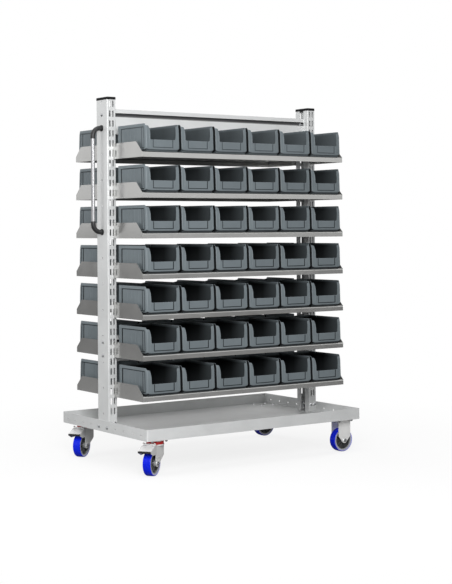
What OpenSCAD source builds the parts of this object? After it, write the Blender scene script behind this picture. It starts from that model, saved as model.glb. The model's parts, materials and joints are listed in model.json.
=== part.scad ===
// Mobile bin cart: a tray deck on four castors carries two slotted uprights, which two cross
// beams tie together. Bin shelves hook into both faces of the uprights and carry open bins.
// Millimetres. X runs along the cart, the front shelves face -Y and Z rises from the floor.

/* [Deck] */
// Length of the deck over its end rims
deck_len = 1338; // [1200:1:1500]
// Depth of the deck over its front and rear rims
deck_dep = 854; // [760:1:1000]
// Height of the upstanding rim, underside of the deck included
rim_h = 57; // [50:1:90]
// Sheet thickness of the deck
deck_t = 2.5; // [2:0.5:4]
// Outside radius of the deck's vertical corners
corner_r = 8; // [5:0.5:20]
// Number of holes in each end rim
rim_holes = 10; // [4:2:10]
// Distance between holes in an end rim
rim_hole_pitch = 82; // [78:1:84]
// Height of the end rim's holes above the deck's underside
rim_hole_rise = 24; // [20:1:28]
// Diameter of the bolt holes in the deck and uprights
bolt_hole_d = 9; // [8.5:0.1:10]

/* [Uprights] */
// Width of an upright, seen from the front
upright_w = 50; // [46:1:60]
// Depth of an upright, seen from the end
upright_dep = 109; // [106:1:140]
// Sheet thickness of an upright
upright_t = 2.5; // [2:0.25:3]
// Width of the open side of an upright, between its lips
upright_mouth = 36; // [26:1:44]
// Height of the lowest slot's centre above the deck's floor
first_slot = 105; // [90:1:140]
// Distance between slots
slot_pitch = 50; // [44:1:60]
// Height of a slot
slot_h = 32; // [26:1:34]
// Width of a slot
slot_w = 8; // [6:0.5:9]
// Distance between the two columns of slots
slot_gap = 18; // [16:1:22]
// Bare length above the highest slot's centre
upright_head = 26; // [24:1:60]
// Height of the lowest hole in the outer web above the deck's floor
first_web_hole = 87.5; // [80:0.5:100]
// Distance between holes in the outer web
web_hole_pitch = 131.5; // [120:0.5:140]
// Height of an end cap above its upright
cap_h = 10; // [6:1:20]
// How far an end cap stands out past its upright
cap_edge = 1.5; // [0.5:0.5:4]
// How far an end cap's plug reaches down into the upright
cap_plug = 15; // [8:1:20]

/* [Beams] */
// Depth of a cross beam, front to rear
beam_dep = 50; // [44:1:70]
// Height of a cross beam
beam_h = 128; // [124:1:150]
// Wall of a cross beam
beam_t = 2.5; // [2:0.25:4]
// Height of the rail along a beam's top
rail_h = 20; // [16:1:22]
// Height of the groove under the rail
groove_h = 20; // [16:1:22]
// Thickness of the neck behind the grooves
neck_t = 6; // [4:0.5:12]
// Thickness of a beam's end plates
end_plate_t = 4; // [3:0.5:8]
// Distance between the two bolts at a beam's end
beam_bolt_gap = 68; // [64:1:70]
// Height of the lower beam's middle above the deck's floor
lower_beam_rise = 417; // [400:1:430]

/* [Shelves] */
// Number of shelves on each face
shelf_rows = 7; // [4:1:7]
// Slots from one shelf to the next
slots_per_shelf = 4; // [4:1:5]
// Distance from the cart's middle plane to a shelf's front lip
shelf_reach = 333; // [300:1:400]
// Height of a shelf's front lip
lip_h = 27; // [22:1:32]
// Sheet thickness of a shelf
shelf_t = 2; // [1.5:0.25:2.5]
// Outside radius of the bend above the lip
bend_r = 6; // [4:0.5:10]
// Height of the end plates above a lip's lower edge
end_plate_h = 78; // [74:1:84]
// Slant of an end plate's front edge, front to rear
end_plate_slant = 54; // [30:1:80]
// Gap between a shelf's rear stop and the uprights
shelf_gap = 5; // [3:0.5:12]
// Height of a shelf's rear stop above its floor
rear_stop_h = 25; // [15:1:40]
// Height of a hook's tab
hook_h = 14; // [10:1:14]
// How far a hook drops behind the upright's face
hook_drop = 6; // [4:0.5:10]

/* [Bins] */
// Width of a bin
bin_w = 198; // [150:1:206]
// Least gap between bins, and between a bin and an end plate
bin_gap = 8; // [2:0.5:9]
// Length of a bin, front to rear
bin_len = 274; // [230:1:276]
// Height of a bin
bin_h = 137; // [120:1:140]
// Wall of a bin
bin_t = 3; // [2:0.25:4]
// Height of a bin's low front wall
bin_front_h = 58; // [40:1:70]
// Height at which a bin's front starts to lean back
bin_bend_h = 98; // [80:1:110]
// How far a bin's front leans back at its upper edge
bin_lean = 13; // [6:1:30]
// Height of the posts beside a bin's front opening
bin_post_h = 127; // [112:1:132]
// Width of the posts beside a bin's front opening
bin_post_w = 24; // [14:1:40]
// Height of the stepped foot under a bin
foot_h = 8; // [5:0.5:12]
// How far the foot stands in from a bin's sides
foot_inset = 9; // [6:0.5:20]
// Depth of the recessed panels in a bin's sides
panel_depth = 2; // [1:0.25:3]
// Height of the plain band along a bin's upper edge
bin_band = 15; // [8:1:24]
// Width of the label recess in a bin's front
label_w = 124; // [80:1:140]
// Height of the label recess above a bin's base
label_rise = 20; // [14:1:24]
// Depth of the label recess
label_depth = 1.2; // [0.6:0.1:1.5]
// How far a bin's front stands out past its shelf's lip
bin_overhang = 8; // [6:0.5:12]

/* [Handle] */
// Diameter of the handle's tube
tube_d = 20; // [16:0.5:22]
// Distance from the upright's outer face to the tube's middle
handle_off = 52; // [48:1:70]
// Outside diameter of the elbows
elbow_d = 24; // [23:0.5:30]
// Bend radius of the elbows, at their middle
elbow_r = 42; // [30:1:44]
// How far the tube reaches into an elbow's socket
socket_depth = 12; // [8:1:20]
// Number of web holes from the lower elbow to the upper one
handle_holes = 4; // [2:1:5]

/* [Castors] */
// Height from the floor to the deck's underside
castor_h = 176; // [174:1:200]
// Diameter of a wheel
wheel_d = 125; // [100:1:126]
// Width of a tyre
tyre_w = 42; // [30:1:44]
// Thickness of a tyre's tread, hub to floor
tyre_t = 8.5; // [7:0.5:14]
// Distance from a swivel castor's axis back to its axle
trail = 43; // [35:1:50]
// Angle to which the swivel castors are turned
castor_turn = 34; // [0:1:60]
// Distance from the deck's end to a swivel castor's axis
swivel_inset = 92; // [80:1:140]
// Distance from the deck's end to a fixed castor's axle
fixed_inset = 69; // [64:1:140]
// Distance from the deck's side to the castors
castor_inset = 77; // [70:1:140]
// Thickness of a castor's top plate
plate_t = 5; // [4:0.5:7]
// Length of a castor's top plate
plate_len = 105; // [100:1:120]
// Width of a castor's top plate
plate_w = 96; // [96:1:104]
// Sheet thickness of a fork
fork_t = 3; // [2.5:0.25:4]
// Diameter of an axle
axle_d = 12; // [8:0.5:14]
// Sheet thickness of a brake pedal's cheeks
cheek_t = 1.8; // [1:0.2:2.6]
// Distance from a pedal's pivot out to its tread's edge
pedal_len = 66; // [50:1:75]
// Slope of a pedal, down from its pivot
pedal_slope = 26; // [15:1:30]

/* [Fits] */
// Radial clearance of a pin or axle that turns
run_fit = 0.05; // [0.02:0.01:0.1]
// Gap between pieces that move past each other
run_gap = 0.3; // [0.2:0.05:0.5]
// Diameter of a bolt's shank
bolt_d = 8; // [6:0.5:8]
// Width of a nut across its corners
nut_d = 15; // [12:0.5:15]
// Thickness of a nut
nut_h = 6.5; // [5:0.5:8]
// Diameter of a bolt's domed head
dome_d = 20; // [16:0.5:22]
// Height of a bolt's domed head
dome_h = 5; // [3:0.5:6]

/* [Hidden] */
$fn = 48;
SIDES = [-1, 1];
ROWS = [1 : shelf_rows];
// Overlap of joined shapes and overcut of holes
lap = 1;

// Deck levels
deck_top = castor_h + deck_t;
rim_bolt_z = castor_h + rim_hole_rise;
rim_len = deck_len - 2 * corner_r;

// Uprights: outer face, middle and inner face, measured from the cart's middle
upright_out = deck_len / 2 - deck_t;
upright_mid = upright_out - upright_w / 2;
upright_bend = 4;
upright_in = upright_out - upright_w;
slot_count = shelf_rows * slots_per_shelf + 4;
upright_top = deck_top + first_slot + (slot_count - 1) * slot_pitch + upright_head;
web_holes = floor((upright_top - deck_top - first_web_hole - bolt_hole_d) / web_hole_pitch) + 1;
function slot_z(k) = deck_top + first_slot + k * slot_pitch;
function web_hole_z(k) = deck_top + first_web_hole + k * web_hole_pitch;

// Beams: the upper beam's lower bolt shares a web hole with the handle
top_hole = web_holes - 2;
top_beam_z = web_hole_z(top_hole) + beam_bolt_gap / 2;
lower_beam_z = deck_top + lower_beam_rise;
box_h = beam_h - rail_h - groove_h;
// Bare length of the neck at each end, where the nuts sit
neck_gap = end_plate_t + 2 * nut_h;

// Heights of the bolts that hold a beam by itself, apart from the handle's
beam_bolt_heights = [top_beam_z + beam_bolt_gap / 2, lower_beam_z - beam_bolt_gap / 2,
                     lower_beam_z + beam_bolt_gap / 2];

// Foot brackets
bracket_t = 3;
bracket_h = 42;
bracket_rise = 10;
bracket_z = deck_top + bracket_rise;
bracket_fit = 0.2;
bracket_gap = 4;
bracket_reach = upright_w - 2 * upright_t - bracket_gap;
// Gap between a nut and the wall or nut beside it
nut_room = 0.3;
nut_gap = 4;
flange_bolt_x = upright_w / 2 - upright_t - bracket_t - nut_d / 2 - nut_room;
flange_bolt_z = rim_bolt_z + nut_d + nut_gap;
// Distance between the two bolts that hold an upright's foot to the end rim
foot_bolt_gap = upright_dep - 2 * (upright_t + bracket_fit + bracket_t + nut_d / 2 + nut_room);

// Shelves: the end plates stand in line with the inner slots
shelf_pitch = slots_per_shelf * slot_pitch;
plate_mid = upright_mid - slot_gap / 2;
plate_in = plate_mid - shelf_t / 2;
shelf_rear = upright_dep / 2 + shelf_gap;
// A shelf's lip hangs this far below its lower hook's seat
lip_drop = 13;
function lip_z(row) = slot_z(2 + (row - 1) * slots_per_shelf) - slot_h / 2 - lip_drop;

// Bins
bin_pitch = bin_w + bin_gap;
bin_count = floor((2 * plate_in - bin_gap) / bin_pitch);
side_t = bin_t + panel_depth;
panel_front = 42;
panel_rear = 28;
panel_h = bin_h - foot_h - bin_t - bin_band;
label_h = bin_front_h - label_rise;
// How far a bin's front has leaned back at a height
function lean_at(z) = bin_lean * (z - bin_bend_h) / (bin_h - bin_bend_h);

// Handle, between two web holes
handle_top = web_hole_z(top_hole);
handle_low = web_hole_z(top_hole - handle_holes);
tube_wall = 2;
elbow_foot_edge = 4;
elbow_foot_d = elbow_d + 2 * elbow_foot_edge;
elbow_foot_h = 4;
stud_depth = handle_off - elbow_r + elbow_d / 4;

// Castors
wheel_r = wheel_d / 2;
hub_r = wheel_r - tyre_t;
hub_proud = 1;
hub_half = tyre_w / 2 + hub_proud;
hub_web = 14;
hub_rim_t = 6;
rim_shy = 2;
rim_half = tyre_w / 2 - rim_shy;
shoulder_r = 3;
leg_gap = 6;
leg_in = hub_half + leg_gap;
leg_out = leg_in + fork_t;
axle_wall = 10;
axle_boss = axle_d / 2 + axle_wall;
axle_nut_edge = 4;
collar_wall = 3;
collar_r = axle_d / 2 + collar_wall;
hub_boss_wall = 6;
plate_bottom = castor_h - plate_t;
plate_bolt_x = 40;
nut_edge = 1.5;
plate_bolt_y = leg_out + nut_d / 2 + nut_edge;
boss_h = 5;
boss_r = 40;
boss_bottom = plate_bottom - boss_h;
ring_h = 14;
ring_r = 43;
ring_bore = 33;
crown_top = boss_bottom - ring_h - run_gap;
crown_t = 5.5;
crown_r = 45;
king_r = 6;
king_head_h = 6;
king_head_r = 11;
// Heights above the axle where a fork's edges turn in, swivel and fixed
swivel_knee = 32;
fixed_knee = 22;
fixed_leg_half = 40;
pivot_r = 3;
pivot_barrel_r = 6;
pivot_rise = 3.3;
pivot_z = crown_top + pivot_rise;
pivot_back = 27;
pivot_x = -trail - pivot_back;
ear_wall = 4;
ear_r = pivot_barrel_r + ear_wall;
pedal_t = 4;
pedal_root_w = 28;
// The pedal's plate widens past the ears, and its cheeks hang down outside the fork
ear_room = 1.5;
cheek_gap = 0.9;
cheek_inset = 0.3;
cheek_back = 12;
cheek_drop = 47;
cheek_edge = 8;
cheek_short = 6;
tread_w = 2 * (leg_out + cheek_gap + cheek_t + cheek_inset);
shoe_len = 10;
shoe_w = 22;
shoe_drop = 28;
swivel_x = deck_len / 2 - swivel_inset;
fixed_x = deck_len / 2 - fixed_inset;
castor_y = deck_dep / 2 - castor_inset;

// The frame's origin is under the middle of the whole cart's box, handle and pedals included
reach_left = upright_out + handle_off + elbow_d / 2;
reach_right = deck_len / 2 + dome_h;
pedal_tip = pedal_len * cos(pedal_slope) + pedal_t / 2 * sin(pedal_slope) - pivot_x;
pedal_reach = castor_y + pedal_tip * sin(castor_turn) + tread_w / 2 * cos(castor_turn);
reach_front = max(pedal_reach, deck_dep / 2);
centre_shift = [(reach_left - reach_right) / 2, (reach_front - deck_dep / 2) / 2, 0];

PAINT = [0.84, 0.85, 0.85];
SHEET = [0.66, 0.66, 0.65];
ZINC = [0.74, 0.75, 0.76];
BIN_GREY = [0.45, 0.50, 0.52];
BLACK = [0.10, 0.10, 0.11];
BLUE = [0.05, 0.18, 0.75];
RED = [0.80, 0.12, 0.10];
HUB_GREY = [0.55, 0.56, 0.58];

FACES = ["front", "rear"];
CASTORS = ["front_swivel", "rear_swivel", "front_fixed", "rear_fixed"];

// Places

// Put a shape drawn about the deck's middle into the cart's own frame
module in_frame() { translate(centre_shift) children(); }

// Put a shape drawn from an upright's outer face inwards at the left (-1) or right (1) end
module at_end(side) { translate([side * upright_out, 0, 0]) mirror([side > 0 ? 1 : 0, 0, 0]) children(); }

// Turn a front shelf or bin row to the rear face
module on_face(face) { rotate([0, 0, face == "rear" ? 180 : 0]) children(); }

// Put a castor, drawn about its own axis, under the deck
module at_swivel(face) {
    translate([-swivel_x, face == "front" ? -castor_y : castor_y, 0])
        rotate([0, 0, castor_turn]) children();
}
module at_fixed(face) { translate([fixed_x, face == "front" ? -castor_y : castor_y, 0]) children(); }

// Shared shapes

module rounded_rect(len, wid, r) {
    union() {
        square([len - 2 * r, wid], center = true);
        square([len, wid - 2 * r], center = true);
        for (x = SIDES) for (y = SIDES) translate([x * (len / 2 - r), y * (wid / 2 - r)]) circle(r);
    }
}

// Hole of a given diameter from z = 0 up
module hole(d, depth) { translate([0, 0, -lap]) cylinder(d = d, h = depth + 2 * lap); }

// Bolt along +Z through what it clamps, domed head below, nut above
module bolt(grip) {
    dome_sphere = (dome_d * dome_d / 4 + dome_h * dome_h) / (2 * dome_h);
    union() {
        intersection() {
            translate([0, 0, dome_sphere - dome_h]) sphere(dome_sphere);
            translate([0, 0, -dome_h]) cylinder(d = dome_d, h = dome_h);
        }
        translate([0, 0, -dome_h / 2]) cylinder(d = bolt_d, h = grip + nut_h + dome_h);
        translate([0, 0, grip]) cylinder(d = nut_d, h = nut_h, $fn = 6);
    }
}

// Deck

module castor_bolt_places() {
    for (x = [-swivel_x, fixed_x]) for (y = SIDES)
        for (i = SIDES) for (j = SIDES)
            translate([x + i * plate_bolt_x, y * castor_y + j * plate_bolt_y, 0]) children();
}

module deck_tray() {
    color(PAINT) difference() {
        translate([0, 0, castor_h]) linear_extrude(rim_h) rounded_rect(deck_len, deck_dep, corner_r);
        translate([0, 0, deck_top]) linear_extrude(rim_h)
            rounded_rect(deck_len - 2 * deck_t, deck_dep - 2 * deck_t, corner_r - deck_t);
        // Room for the long rims between the turned-up ends
        translate([-rim_len / 2, -deck_dep / 2 - lap, deck_top]) cube([rim_len, deck_dep + 2 * lap, rim_h]);
        for (side = SIDES) for (y = SIDES) for (k = [0 : rim_holes / 2 - 1])
            translate([side * upright_out, y * (foot_bolt_gap / 2 + k * rim_hole_pitch), rim_bolt_z])
                rotate([0, side * 90, 0]) hole(bolt_hole_d, deck_t);
        castor_bolt_places() translate([0, 0, castor_h]) hole(bolt_hole_d, deck_t);
    }
}

// Front and rear rims, strips welded on the floor's edges between the ends
module deck_rims() {
    color(PAINT) for (side = SIDES)
        translate([-rim_len / 2, side * (deck_dep - deck_t) / 2 - deck_t / 2, deck_top])
            cube([rim_len, deck_t, rim_h - deck_t]);
}

// Uprights

// Lipped C-channel, open towards the cart's middle
module channel_section() {
    difference() {
        translate([upright_w / 2, 0]) rounded_rect(upright_w, upright_dep, upright_bend);
        translate([upright_w / 2, 0])
            rounded_rect(upright_w - 2 * upright_t, upright_dep - 2 * upright_t, upright_bend - upright_t);
        translate([upright_w / 2, -upright_mouth / 2]) square([upright_w, upright_mouth]);
    }
}

module web_hole(y, z) { translate([0, y, z]) rotate([0, 90, 0]) hole(bolt_hole_d, upright_t); }

module upright(side) {
    color(PAINT) at_end(side) difference() {
        translate([0, 0, deck_top]) linear_extrude(upright_top - deck_top) channel_section();
        for (k = [0 : slot_count - 1]) for (column = SIDES)
            translate([upright_w / 2 + column * slot_gap / 2, 0, slot_z(k)])
                cube([slot_w, upright_dep + 2 * lap, slot_h], center = true);
        for (k = [0 : web_holes - 1]) web_hole(0, web_hole_z(k));
        for (z = beam_bolt_heights) web_hole(0, z);
        for (y = SIDES) web_hole(y * foot_bolt_gap / 2, rim_bolt_z);
        for (x = SIDES) translate([upright_w / 2 + x * flange_bolt_x, -upright_dep / 2, flange_bolt_z])
            rotate([-90, 0, 0]) hole(bolt_hole_d, upright_dep);
    }
}

module left_upright() { upright(-1); }
module right_upright() { upright(1); }

// Moulded cap with a plug that fits inside the channel
module upright_caps() {
    skin = upright_t + bracket_fit;
    color(BLACK) for (side = SIDES) at_end(side) union() {
        translate([upright_w / 2, 0, upright_top]) linear_extrude(cap_h)
            rounded_rect(upright_w + 2 * cap_edge, upright_dep + 2 * cap_edge, upright_bend + cap_edge);
        translate([upright_w / 2, 0, upright_top - cap_plug]) linear_extrude(cap_plug + lap)
            rounded_rect(upright_w - 2 * skin, upright_dep - 2 * skin, upright_bend);
    }
}

// U-shaped bracket inside the upright's foot
module foot_brackets() {
    inside = upright_dep - 2 * (upright_t + bracket_fit);
    color(ZINC) for (side = SIDES) at_end(side) difference() {
        translate([upright_t + bracket_reach / 2, 0, bracket_z]) linear_extrude(bracket_h)
            rounded_rect(bracket_reach, inside, upright_bend);
        translate([upright_t + bracket_t, bracket_t - inside / 2, bracket_z - lap])
            cube([bracket_reach, inside - 2 * bracket_t, bracket_h + 2 * lap]);
        for (y = SIDES) translate([upright_t, y * foot_bolt_gap / 2, rim_bolt_z])
            rotate([0, 90, 0]) hole(bolt_hole_d, bracket_t);
        for (x = SIDES) translate([upright_w / 2 + x * flange_bolt_x, -inside / 2, flange_bolt_z])
            rotate([-90, 0, 0]) hole(bolt_hole_d, inside);
    }
}

// Bolts through the end rims, and through the uprights' front and rear faces
module foot_bolts() {
    color(ZINC) for (side = SIDES) at_end(side) {
        for (y = SIDES) translate([-deck_t, y * foot_bolt_gap / 2, rim_bolt_z])
            rotate([0, 90, 0]) bolt(deck_t + upright_t + bracket_t);
        for (x = SIDES) for (y = SIDES)
            translate([upright_w / 2 + x * flange_bolt_x, y * upright_dep / 2, flange_bolt_z])
                rotate([y * 90, 0, 0]) bolt(upright_t + bracket_fit + bracket_t);
    }
}

// Cross beams

// Rail above a grooved neck above a hollow box, about the beam's middle
module beam_section() {
    union() {
        translate([-beam_dep / 2, beam_h / 2 - rail_h]) difference() {
            square([beam_dep, rail_h]);
            translate([beam_t, beam_t]) square([beam_dep - 2 * beam_t, rail_h - 2 * beam_t]);
        }
        translate([-beam_dep / 2, -beam_h / 2]) difference() {
            square([beam_dep, box_h]);
            translate([beam_t, beam_t]) square([beam_dep - 2 * beam_t, box_h - 2 * beam_t]);
        }
    }
}

module beam(z) {
    color(PAINT) translate([0, 0, z]) difference() {
        union() {
            translate([-upright_in, 0, 0]) rotate([90, 0, 90])
                linear_extrude(2 * upright_in) beam_section();
            translate([neck_gap - upright_in, -neck_t / 2, beam_h / 2 - rail_h - groove_h - beam_t / 2])
                cube([2 * (upright_in - neck_gap), neck_t, groove_h + beam_t]);
            for (side = SIDES) translate([side * (upright_in - end_plate_t / 2), 0, 0])
                cube([end_plate_t, beam_dep, beam_h], center = true);
        }
        for (side = SIDES) for (bolt_side = SIDES)
            translate([side * (upright_in - end_plate_t), 0, bolt_side * beam_bolt_gap / 2])
                rotate([0, side * 90, 0]) hole(bolt_hole_d, end_plate_t);
    }
}

module top_beam() { beam(top_beam_z); }
module lower_beam() { beam(lower_beam_z); }

// Bolts from the uprights' outer faces into the beams, and the handle's studs. The upper stud
// runs on through the beam's end plate in place of a bolt.
module frame_bolts() {
    beam_grip = upright_w + end_plate_t;
    color(ZINC) for (side = SIDES) at_end(side) {
        for (z = beam_bolt_heights) translate([0, 0, z]) rotate([0, 90, 0]) bolt(beam_grip);
        if (side > 0) translate([0, 0, handle_top]) rotate([0, 90, 0]) bolt(beam_grip);
        else {
            translate([0, 0, handle_top]) rotate([0, 90, 0]) stud(beam_grip);
            translate([0, 0, handle_low]) rotate([0, 90, 0]) stud(upright_t);
        }
    }
}

// Stud from inside an elbow through what it clamps, with its nut
module stud(grip) {
    union() {
        translate([0, 0, -stud_depth]) cylinder(d = bolt_d, h = stud_depth + grip + nut_h);
        translate([0, 0, grip]) cylinder(d = nut_d, h = nut_h, $fn = 6);
    }
}

// Push handle

module handle_tube() {
    color(PAINT) at_end(-1) translate([-handle_off, 0, handle_low + elbow_r]) difference() {
        cylinder(d = tube_d, h = handle_top - handle_low - 2 * elbow_r);
        hole(tube_d - 2 * tube_wall, handle_top - handle_low);
    }
}

// Elbow from its foot on the upright round to the tube, drawn for the upper end
module elbow() {
    straight = handle_off - elbow_r;
    difference() {
        union() {
            rotate([0, -90, 0]) cylinder(d = elbow_foot_d, h = elbow_foot_h);
            rotate([0, -90, 0]) cylinder(d = elbow_d, h = straight);
            translate([-straight, 0, -elbow_r]) rotate([-90, 0, 0]) rotate([0, 0, 180])
                rotate_extrude(angle = 90) translate([elbow_r, 0]) circle(d = elbow_d);
            translate([-handle_off, 0, -elbow_r - socket_depth]) cylinder(d = elbow_d, h = socket_depth);
        }
        rotate([0, -90, 0]) hole(bolt_d + 2 * run_fit, stud_depth - lap);
        translate([-handle_off, 0, -elbow_r - socket_depth - lap])
            cylinder(d = tube_d + 2 * run_fit, h = socket_depth + lap);
    }
}

module handle_elbows() {
    color(BLACK) at_end(-1) {
        translate([0, 0, handle_top]) elbow();
        translate([0, 0, handle_low]) mirror([0, 0, 1]) elbow();
    }
}

// Shelves

// Folded sheet in section: lip, bend, floor and rear stop. x runs front to rear.
module shelf_section() {
    depth = shelf_reach - shelf_rear;
    union() {
        square([shelf_t, lip_h - bend_r]);
        translate([bend_r, lip_h - bend_r]) intersection() {
            difference() {
                circle(bend_r);
                circle(bend_r - shelf_t);
            }
            translate([-bend_r, 0]) square(bend_r);
        }
        translate([bend_r, lip_h - shelf_t]) square([depth - bend_r, shelf_t]);
        translate([depth - shelf_t, lip_h - shelf_t]) square([shelf_t, shelf_t + rear_stop_h]);
    }
}

// End plate with its slanted front edge and two hooks. x runs front to rear.
module end_plate_section() {
    back = shelf_reach - upright_dep / 2;
    union() {
        polygon([[0, 0], [back, 0], [back, end_plate_h], [end_plate_slant, end_plate_h], [0, lip_h]]);
        for (k = [0, 1]) translate([back, lip_drop + k * slot_pitch]) {
            translate([-lap, 0]) square([upright_t + 2 * run_gap + shelf_t + lap, hook_h]);
            translate([upright_t + 2 * run_gap, -hook_drop]) square([shelf_t, hook_drop + hook_h]);
        }
    }
}

module shelf(row) {
    color(SHEET) translate([0, -shelf_reach, lip_z(row)]) union() {
        translate([-plate_mid, 0, 0]) rotate([90, 0, 90]) linear_extrude(2 * plate_mid) shelf_section();
        for (side = SIDES) translate([side * plate_mid - shelf_t / 2, 0, 0])
            rotate([90, 0, 90]) linear_extrude(shelf_t) end_plate_section();
    }
}

// Bins

// Side of a bin above its foot. x runs front to rear.
module bin_profile() {
    polygon([[0, foot_h], [bin_len, foot_h], [bin_len, bin_h], [bin_lean, bin_h], [0, bin_bend_h]]);
}

// Inside of a bin above its foot, open at the top
module bin_hollow() {
    floor_z = foot_h + bin_t;
    open_z = bin_h + lap;
    polygon([[bin_t, floor_z], [bin_len - bin_t, floor_z], [bin_len - bin_t, open_z],
             [bin_t + lean_at(open_z), open_z], [bin_t, bin_bend_h]]);
}

// Open-fronted bin with a stepped foot, its front at y = 0
module bin() {
    difference() {
        union() {
            translate([-bin_w / 2, 0, 0]) rotate([90, 0, 90]) linear_extrude(bin_w) bin_profile();
            translate([foot_inset - bin_w / 2, foot_inset, 0])
                cube([bin_w - 2 * foot_inset, bin_len - 2 * foot_inset, foot_h + lap]);
        }
        // Inside, down to the step and then down into the foot
        translate([side_t - bin_w / 2, 0, 0]) rotate([90, 0, 90])
            linear_extrude(bin_w - 2 * side_t) bin_hollow();
        translate([foot_inset + bin_t - bin_w / 2, foot_inset + bin_t, bin_t])
            cube([bin_w - 2 * (foot_inset + bin_t), bin_len - 2 * (foot_inset + bin_t), foot_h + lap]);
        // Opening above the low front wall, and the posts' tops between the sides
        translate([bin_post_w - bin_w / 2, -lap, bin_front_h])
            cube([bin_w - 2 * bin_post_w, bin_lean + bin_t + 2 * lap, bin_h]);
        translate([side_t - bin_w / 2, -lap, bin_post_h])
            cube([bin_w - 2 * side_t, bin_lean + bin_t + 2 * lap, bin_h]);
        // Recessed side panels and label recess
        for (side = SIDES)
            translate([side * bin_w / 2 - panel_depth, panel_front, foot_h + bin_t])
                cube([2 * panel_depth, bin_len - panel_front - panel_rear, panel_h]);
        translate([-label_w / 2, label_depth - lap, label_rise]) cube([label_w, lap, label_h + lap]);
    }
}

module bins(row) {
    color(BIN_GREY) translate([0, -shelf_reach - bin_overhang, lip_z(row) + lip_h + run_gap])
        for (k = [0 : bin_count - 1]) translate([(k - (bin_count - 1) / 2) * bin_pitch, 0, 0]) bin();
}

// Castors: each is drawn about its own axis, rolling along +X

module castor_bolts() {
    color(ZINC) castor_bolt_places() translate([0, 0, deck_top]) mirror([0, 0, 1]) bolt(deck_t + plate_t);
}

module plate_blank() {
    difference() {
        translate([0, 0, plate_bottom]) linear_extrude(plate_t) rounded_rect(plate_len, plate_w, corner_r);
        for (i = SIDES) for (j = SIDES)
            translate([i * plate_bolt_x, j * plate_bolt_y, plate_bottom]) hole(bolt_hole_d, plate_t);
    }
}

// Top plates of the swivel castors, with the upper race pressed down under each
module swivel_plates() {
    color(ZINC) for (face = FACES) at_swivel(face) difference() {
        union() {
            rotate([0, 0, -castor_turn]) plate_blank();
            translate([0, 0, boss_bottom]) cylinder(r = boss_r, h = boss_h + lap);
        }
        translate([0, 0, boss_bottom]) hole(2 * (king_r + run_fit), boss_h + plate_t);
    }
}

// Seal ring round the swivel bearing
module swivel_rings() {
    color(RED) for (face = FACES) at_swivel(face) difference() {
        translate([0, 0, boss_bottom - ring_h]) cylinder(r = ring_r, h = ring_h);
        translate([0, 0, boss_bottom - ring_h]) hole(2 * ring_bore, ring_h);
    }
}

// Kingpin with its inner race collar above the fork's crown and its head below
module kingpins() {
    head_top = crown_top - crown_t - run_gap;
    color(ZINC) for (face = FACES) at_swivel(face) union() {
        translate([0, 0, head_top - king_head_h]) cylinder(r = king_head_r, h = king_head_h);
        translate([0, 0, head_top - lap]) cylinder(r = king_r, h = castor_h - head_top + lap);
        translate([0, 0, boss_bottom - ring_h]) cylinder(r = king_r + collar_wall, h = ring_h);
    }
}

// One leg of a fork in side view: broad at the crown, drawn in below its knees to a round end
// at the axle. x runs along the roll.
module leg_outline(top, front, front_knee, rear, rear_knee, axle_x) {
    chord = axle_boss * cos(45);
    union() {
        polygon([[rear, top], [front, top], [front, wheel_r + front_knee], [axle_x + chord, wheel_r - chord],
                 [axle_x - chord, wheel_r - chord], [rear, wheel_r + rear_knee]]);
        translate([axle_x, wheel_r]) circle(axle_boss);
    }
}

module both_legs() {
    for (side = SIDES) translate([0, side * (leg_in + fork_t / 2) + fork_t / 2, 0])
        rotate([90, 0, 0]) linear_extrude(fork_t) children();
}

module axle_hole(x, z, r) { translate([x, leg_out, z]) rotate([90, 0, 0]) hole(2 * r, 2 * leg_out); }

// Pressed fork that turns on the kingpin, with ears for the pedal's pivot
module swivel_fork() {
    front = sqrt(crown_r * crown_r - leg_out * leg_out) + ear_wall;
    rear = -trail - axle_boss;
    color(ZINC) difference() {
        union() {
            both_legs() union() {
                leg_outline(crown_top, front, swivel_knee, rear, 0, -trail);
                translate([pivot_x, pivot_z]) circle(ear_r);
                polygon([[rear + lap, crown_top], [pivot_x, pivot_z + ear_r], [pivot_x, pivot_z - ear_r],
                         [rear + lap, pivot_z - 2 * ear_r]]);
            }
            translate([0, 0, crown_top - crown_t]) linear_extrude(crown_t) union() {
                circle(crown_r);
                translate([pivot_x + ear_r, -leg_out]) square([front - pivot_x - ear_r, 2 * leg_out]);
            }
        }
        translate([0, 0, crown_top - crown_t]) hole(2 * (king_r + run_fit), crown_t);
        axle_hole(-trail, wheel_r, axle_d / 2 + run_fit);
        axle_hole(pivot_x, pivot_z, pivot_r + run_fit);
    }
}

// Axle bolt with its head and nut outside the legs and spacer collars inside them
module axle(x) {
    color(ZINC) translate([x, 0, wheel_r]) rotate([90, 0, 0]) union() {
        cylinder(d = axle_d, h = 2 * (leg_out + nut_h), center = true);
        for (side = SIDES) {
            translate([0, 0, side * (leg_out + nut_h / 2)])
                cylinder(r = axle_d / 2 + axle_nut_edge, h = nut_h, center = true, $fn = 6);
            translate([0, 0, side * (leg_in + hub_half + run_gap) / 2])
                cylinder(r = collar_r, h = leg_in - hub_half - run_gap, center = true);
        }
    }
}

// Hub in section: x is the radius, y runs along the axle
module hub(x) {
    bore = axle_d / 2 + run_fit;
    boss = collar_r + hub_boss_wall;
    color(HUB_GREY) translate([x, 0, wheel_r]) rotate([90, 0, 0]) rotate_extrude() union() {
        translate([bore, -hub_half]) square([boss - bore, 2 * hub_half]);
        translate([bore, -hub_web / 2]) square([hub_r - bore, hub_web]);
        translate([hub_r - hub_rim_t, -rim_half]) square([hub_rim_t, 2 * rim_half]);
    }
}

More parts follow.
